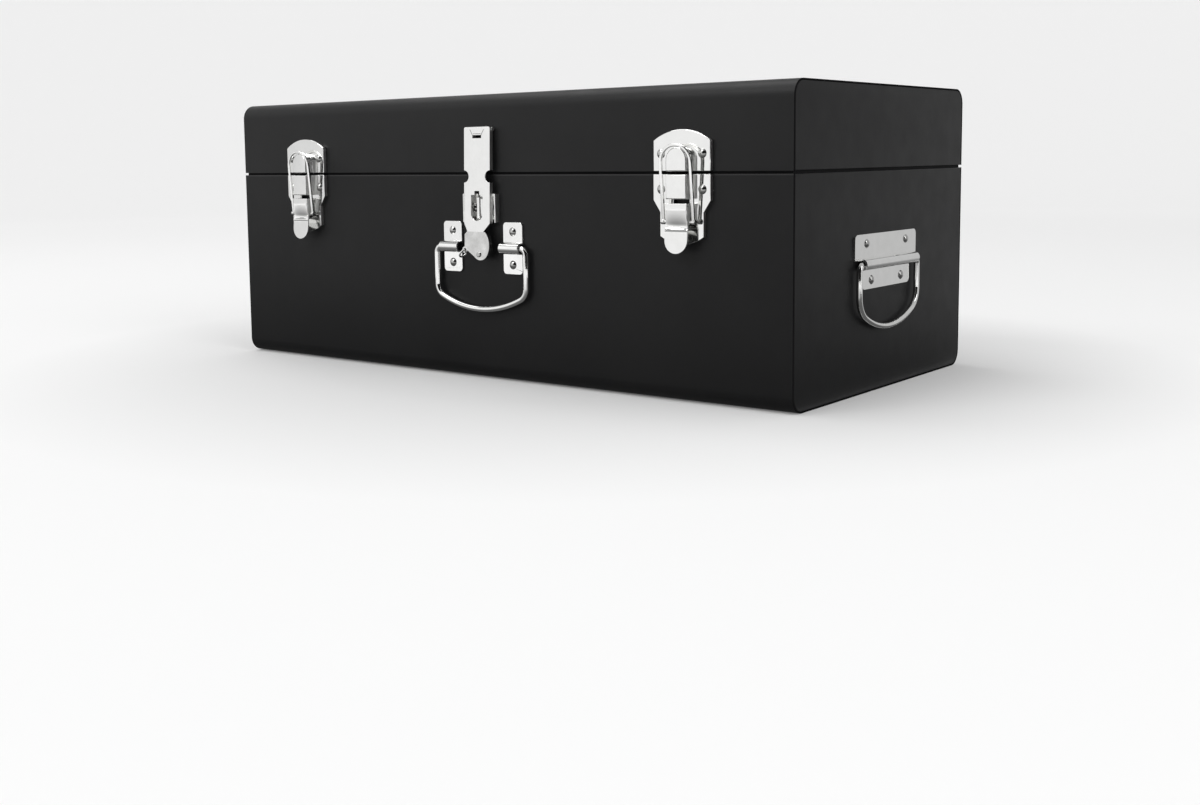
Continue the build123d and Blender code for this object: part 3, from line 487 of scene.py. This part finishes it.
def latch_loop(node, x):
    """The loop: a strip with round edges, bent to a narrow arch, with an eye on each leg."""
    length = (LOOP_REACH[0] ** 2 + LOOP_REACH[1] ** 2) ** 0.5
    up = Vector((0, -LOOP_REACH[0], LOOP_REACH[1])) / length
    leg_top = length - LOOP_MIDDLE + LOOP_HALF
    path = [(-LOOP_MIDDLE, 0), (-LOOP_MIDDLE, leg_top / 2)]
    path += arc(0, leg_top, LOOP_MIDDLE, 180, 0, LOOP_ARCH_STEPS)
    path += [(LOOP_MIDDLE, leg_top / 2), (LOOP_MIDDLE, 0)]
    origin = place(x, FRONT - LOOP_PIN[0], LOOP_PIN[1])
    work = bmesh.new()
    sweep(work, path, origin, ALONG_X, up,
          rounded_box(LOOP_HALF, LOOP_HALF_DEPTH, LOOP_CORNER, LOOP_CORNER_STEPS))
    eye = arc(0, 0, LOOP_EYE, 0, EYE_TURN, EYE_STEPS)
    for start in (LOOP_MIDDLE + LOOP_HALF, LOOP_HALF - LOOP_MIDDLE):
        slab(work, eye, origin + place(start, 0, 0), OUTWARDS, UPWARDS, 2 * LOOP_HALF)
    finish_piece(work, "v_" + node, node, LOOP_EDGE)


# Height, distance out, half width and the dip in the middle, down the lever's face
LEVER_ROWS = [
    (128.0, 9.55, 7.85, 0.0), (127.8, 9.75, 7.85, 0.0), (127.4, 9.8, 7.85, 0.0), (125.6, 9.8, 7.8, 0.0),
    (124.0, 9.8, 7.6, 0.0), (123.5, 9.76, 7.5, 0.0), (121.5, 9.6, 7.5, 0.02), (119.5, 9.44, 7.6, 0.08),
    (117.5, 9.28, 7.8, 0.22), (115.5, 9.12, 8.0, 0.5), (114.2, 9.02, 8.15, 0.8), (113.0, 9.05, 8.25, 0.75),
    (112.3, 9.2, 8.35, 0.35), (111.7, 9.6, 8.4, 0.05), (111.2, 9.8, 8.4, 0.0), (110.6, 9.65, 8.4, 0.0),
    (110.0, 9.55, 8.4, 0.0), (108.5, 9.66, 8.4, 0.0), (106.5, 9.83, 8.4, 0.0),
]
# The round tab: its foot, its radius, how far out the foot stands and how fast it leans back going up
LEVER_FOOT = 96.5
LEVER_TAB = 8.4
TAB_OUT = 10.6
TAB_LEAN = 0.077
TAB_TIP = 0.02
TAB_STEPS = 12
ACROSS_STEPS = 16
DIP_POWER = 0.7
LEVER_SHEET = 1.0
LEVER_EDGE = 0.3
LEVER_EDGE_LIMIT = radians(60)
# The cheeks: distances out and heights in a side view that goes round both pins
CHEEK_HALF = 7.75
CHEEK_OUT = 9.2
CHEEK_TOP = 127.7
CHEEK_CORNER = 123.5
CHEEK_TOE = (8.3, 114.6)
CHEEK_PIN_RADIUS = 1.9
CHEEK_PIN_TURN = (120, 188)
CHEEK_LOOP_TURN = (188, 270)
CHEEK_STEPS = 8
CHEEK_EDGE = 0.0002


def lever_face(node, x):
    """The lever's pressed face, with a hollow slope, a ridge and a round tab."""
    rows = list(LEVER_ROWS)
    for i in range(TAB_STEPS + 1):
        turn = radians(90 * i / TAB_STEPS)
        z = LEVER_FOOT + LEVER_TAB * (1 - sin(turn))
        out = TAB_OUT - (z - LEVER_FOOT) * TAB_LEAN
        rows.append((z, out, max(LEVER_TAB * cos(turn), TAB_TIP), 0.0))
    work = bmesh.new()
    grid = []
    for z, out, half, dip in rows:
        line = []
        for k in range(ACROSS_STEPS + 1):
            u = 2 * k / ACROSS_STEPS - 1
            fall = dip * (1 - u * u) ** DIP_POWER
            line.append(work.verts.new(place(x + half * u, FRONT - out + fall, z)))
        grid.append(line)
    for high, low in zip(grid, grid[1:]):
        for k in range(ACROSS_STEPS):
            work.faces.new((high[k], high[k + 1], low[k + 1], low[k]))
    face = finish_piece(work, "v_" + node, node)
    solid = face.modifiers.new("sheet", "SOLIDIFY")
    solid.thickness = LEVER_SHEET * MM
    solid.offset = -1
    solid.use_even_offset = True
    round_edges(face, LEVER_EDGE * MM, FINE_SEGMENTS, LEVER_EDGE_LIMIT)


def lever_cheeks(node, x):
    """The lever's two cheeks, which carry its pin and the loop's."""
    work = bmesh.new()
    outline = [(CHEEK_OUT, CHEEK_CORNER), (CHEEK_OUT, CHEEK_TOP), (LEVER_PIN[0], CHEEK_TOP)]
    outline += arc(*LEVER_PIN, CHEEK_PIN_RADIUS, *CHEEK_PIN_TURN, CHEEK_STEPS)
    outline += arc(*LOOP_PIN, LOOP_EYE, *CHEEK_LOOP_TURN, CHEEK_STEPS)
    outline.append(CHEEK_TOE)
    for start in (CHEEK_HALF, LEVER_SHEET - CHEEK_HALF):
        slab(work, outline, place(x + start, FRONT, 0), OUTWARDS, UPWARDS, LEVER_SHEET)
    finish_piece(work, "v_" + node + "_cheeks", node, CHEEK_EDGE)


for side, side_name in SIDES:
    latch_loop("latch_loop_" + side_name, side * LATCH_X)
    lever_face("latch_lever_" + side_name, side * LATCH_X)
    lever_cheeks("latch_lever_" + side_name, side * LATCH_X)


# The strap's window: two slanted creases run up from its corners, and a fold crosses above it; thin strips
# of painted shade draw them
STRAP_PIN = (2.2, 178.0)
STRAP_REACH = 2.8
STRAP_LEAN = radians(1.5)
CREASES = [((-4.1, -4.1), (-6.4, -0.2)), ((4.1, -4.1), (6.4, -0.2)), ((-3.7, -3.2), (3.7, -3.2))]
CREASE_HALF = 0.16
CREASE_HEIGHT = 0.05


def strap_crease_shade():
    """Thin strips of painted shade along the creases on the strap's face, which leans as the strap does."""
    up = Vector((0, sin(STRAP_LEAN), cos(STRAP_LEAN)))
    out = Vector((0, -cos(STRAP_LEAN), sin(STRAP_LEAN)))
    origin = place(HASP_X, FRONT - STRAP_PIN[0], STRAP_PIN[1]) + out * STRAP_REACH * MM
    work = bmesh.new()
    for (a, b), (c, d) in CREASES:
        run = Vector((c - a, d - b)).normalized() * CREASE_HALF
        outline = [
            (a + run.y, b - run.x),
            (c + run.y, d - run.x),
            (c - run.y, d + run.x),
            (a - run.y, b + run.x),
        ]
        slab(work, outline, origin, ALONG_X, up, CREASE_HEIGHT)
    piece = finish_piece(work, "v_hasp_strap_creases", "hasp_strap")
    piece.data.materials[0] = nickel_crease_shade


strap_crease_shade()

# Floor, backdrop and lights. The floor's tone and glow drift with the distance from the trunk's middle, and
# the low glow close round the trunk is a painted shadow.
STAGE_NEAR = (0.60, 0.60, 0.60)
STAGE_FAR = (0.45, 0.45, 0.45)
STAGE_SHADOW_REACH = (0.20, 0.46)
STAGE_REACH_FAR = (0.7, 2.8)
STAGE_SHADOW_GLOW = (0.10, 0.27)
STAGE_GLOW_FAR = 0.24
STAGE_ROUGH = (0.6, 0.7)
STAGE_GRAIN = 3.0
STAGE_DROP = 0.0002
FLOOR_RADIUS = 3.2
BACKDROP_BEND = 1.6
BACKDROP_TOP = 3.4
BEND_RINGS = 14
STAGE_STEPS = 96
# Colour of the studio's light at and below eye level and high up, and the height where that begins
WORLD_LOW = (0.86, 0.86, 0.86, 1)
WORLD_HIGH = (1.0, 1.0, 1.0, 1)
WORLD_RISE = 0.6
WORLD_STRENGTH = 0.42


def stage_material():
    s = Shader("stage")
    reach = s.add("VectorMath", {"Vector": s.place}, operation="LENGTH").outputs["Value"]
    far = s.spread(reach, 0.0, 1.0, *STAGE_REACH_FAR)
    # Painted shadow: the floor glows less close round the trunk
    shadow_glow = s.spread(reach, *STAGE_SHADOW_GLOW, *STAGE_SHADOW_REACH)
    far_glow = s.spread(far, 0.0, STAGE_GLOW_FAR, 0.0, 1.0)
    s.feed(Emission_Strength=s.math("ADD", shadow_glow, far_glow))
    s.feed(Base_Color=s.colours(far, STAGE_NEAR, STAGE_FAR))
    s.feed(Roughness=s.spread(s.noise(STAGE_GRAIN), *STAGE_ROUGH))
    s.fix(Emission_Color=(1, 1, 1, 1), Specular_IOR_Level=0.0)
    return s.material


def make_stage():
    """A pale floor that curves up into a round backdrop, the same from every side."""
    outline = [(FLOOR_RADIUS, 0.0)]
    for i in range(1, BEND_RINGS + 1):
        turn = pi / 2 * i / BEND_RINGS
        outline.append((FLOOR_RADIUS + BACKDROP_BEND * sin(turn), BACKDROP_BEND * (1 - cos(turn))))
    outline.append((FLOOR_RADIUS + BACKDROP_BEND, BACKDROP_TOP))
    work = bmesh.new()
    circles = []
    for radius, height in outline:
        turns = [2 * pi * k / STAGE_STEPS for k in range(STAGE_STEPS)]
        circles.append([work.verts.new((radius * cos(a), radius * sin(a), height)) for a in turns])
    work.faces.new(circles[0])
    for low, high in zip(circles, circles[1:]):
        for k in range(STAGE_STEPS):
            following = (k + 1) % STAGE_STEPS
            work.faces.new((low[k], high[k], high[following], low[following])).smooth = True
    stage = mesh_object("stage", work)
    stage.location.z = -STAGE_DROP
    stage.data.materials.append(stage_material())


def make_world():
    """The studio all round: white above, a little darker at eye level and below."""
    world = bpy.data.worlds.new("studio")
    world.use_nodes = True
    tree = world.node_tree
    direction = tree.nodes.new("ShaderNodeTexCoord")
    parts = tree.nodes.new("ShaderNodeSeparateXYZ")
    ramp = tree.nodes.new("ShaderNodeValToRGB")
    tree.links.new(direction.outputs["Generated"], parts.inputs[0])
    tree.links.new(parts.outputs["Z"], ramp.inputs[0])
    low, high = ramp.color_ramp.elements
    low.position = 0.0
    low.color = WORLD_LOW
    high.position = WORLD_RISE
    high.color = WORLD_HIGH
    tree.links.new(ramp.outputs["Color"], tree.nodes["Background"].inputs["Color"])
    tree.nodes["Background"].inputs["Strength"].default_value = WORLD_STRENGTH
    bpy.context.scene.world = world


# Cards that bright metal reflects, in metres and degrees round the trunk. A wall card has the middle of its
# turn, its spread, its radius and its two heights; a floor card its ends along X and Y. Then each has
# its glow at two places along Y, and those places.
CARD_FOOT = -0.0001
CARD_LEVEL = 0.0006
WALL_CARDS = [
    ("card_front", (-50, 88, 1.35, CARD_FOOT, 1.6), (0.0, 0.02), (0.0, 1.0)),
    ("card_right", (50, 94, 0.84, CARD_FOOT, 1.4), (0.46, 0.54), (0.0, 1.0)),
    ("card_left", (-131, 60, 1.6, CARD_FOOT, 0.29), (0.88, 0.62), (-1.3, -0.9)),
    ("card_high_left", (-131, 60, 1.6, 0.29, 1.2), (1.0, 0.9), (-1.3, -0.9)),
]
FLOOR_CARDS = [
    ("card_floor", ((-0.8, 0.85), (-0.75, -0.12)), (0.8, 0.12), (-0.75, -0.2)),
    ("card_floor_right", ((0.26, 0.85), (-0.12, 0.8)), (0.10, 0.50), (0.1, 0.5)),
]
WALL_STEPS = 24
CARD_DARK = (0.010, 0.010, 0.010)
CARD_PALE = (0.014, 0.014, 0.014)
CARD_DRIFT = 1.5
CARD_GRAIN = 3.0
CARD_ROUGH = (0.8, 0.9)


def card_material(name, glow, from_y):
    s = Shader(name)
    s.feed(Base_Color=s.colours(s.spread(s.noise(CARD_DRIFT), 0.0, 1.0), CARD_DARK, CARD_PALE))
    s.feed(Roughness=s.spread(s.noise(CARD_GRAIN), *CARD_ROUGH))
    s.feed(Emission_Strength=s.spread(s.axis(s.place, "Y"), *glow, *from_y))
    s.fix(Emission_Color=(1, 1, 1, 1), Specular_IOR_Level=0.0)
    return s.material


def card(name, low, high, glow, from_y):
    """A card between two edges; only reflections show it."""
    work = bmesh.new()
    low = [work.verts.new(point) for point in low]
    high = [work.verts.new(point) for point in high]
    for i in range(len(low) - 1):
        work.faces.new((low[i], high[i], high[i + 1], low[i + 1])).smooth = True
    panel = mesh_object(name, work)
    panel.visible_camera = False
    panel.visible_shadow = False
    panel.visible_diffuse = False
    panel.data.materials.append(card_material(name, glow, from_y))


def wall_edges(middle, spread, radius, low, high):
    """The two edges of an upright card that curves round the trunk."""
    turns = [radians(middle + spread * (i / WALL_STEPS - 0.5)) for i in range(WALL_STEPS + 1)]
    return [[(radius * cos(a), radius * sin(a), z) for a in turns] for z in (low, high)]


def floor_edges(ends_x, ends_y):
    """The two edges of a card that lies on the floor."""
    return [[(x, y, CARD_LEVEL) for x in ends_x] for y in ends_y]


# Lights: place, size and power
LIGHTS = [
    ("key", (-0.9, -2.9, 3.0), (2.2, 1.6), 51),
    ("right", (2.4, -0.6, 1.5), (1.6, 1.6), 24),
    ("top", (-0.9, 0.0, 2.4), (1.8, 1.8), 20),
]
LIGHT_AIM = Vector((0, 0, 0.1))


def area_light(name, spot, size, power):
    data = bpy.data.lights.new(name, "AREA")
    data.shape = "RECTANGLE"
    data.size, data.size_y = size
    data.energy = power
    light = new_object(name, data)
    light.location = spot
    light.rotation_euler = (LIGHT_AIM - Vector(spot)).to_track_quat("-Z", "Y").to_euler()


bpy.context.scene.view_settings.view_transform = "Standard"
make_stage()
make_world()
for name, shape, glow, from_y in WALL_CARDS:
    card(name, *wall_edges(*shape), glow, from_y)
for name, shape, glow, from_y in FLOOR_CARDS:
    card(name, *floor_edges(*shape), glow, from_y)
for name, spot, size, power in LIGHTS:
    area_light(name, spot, size, power)
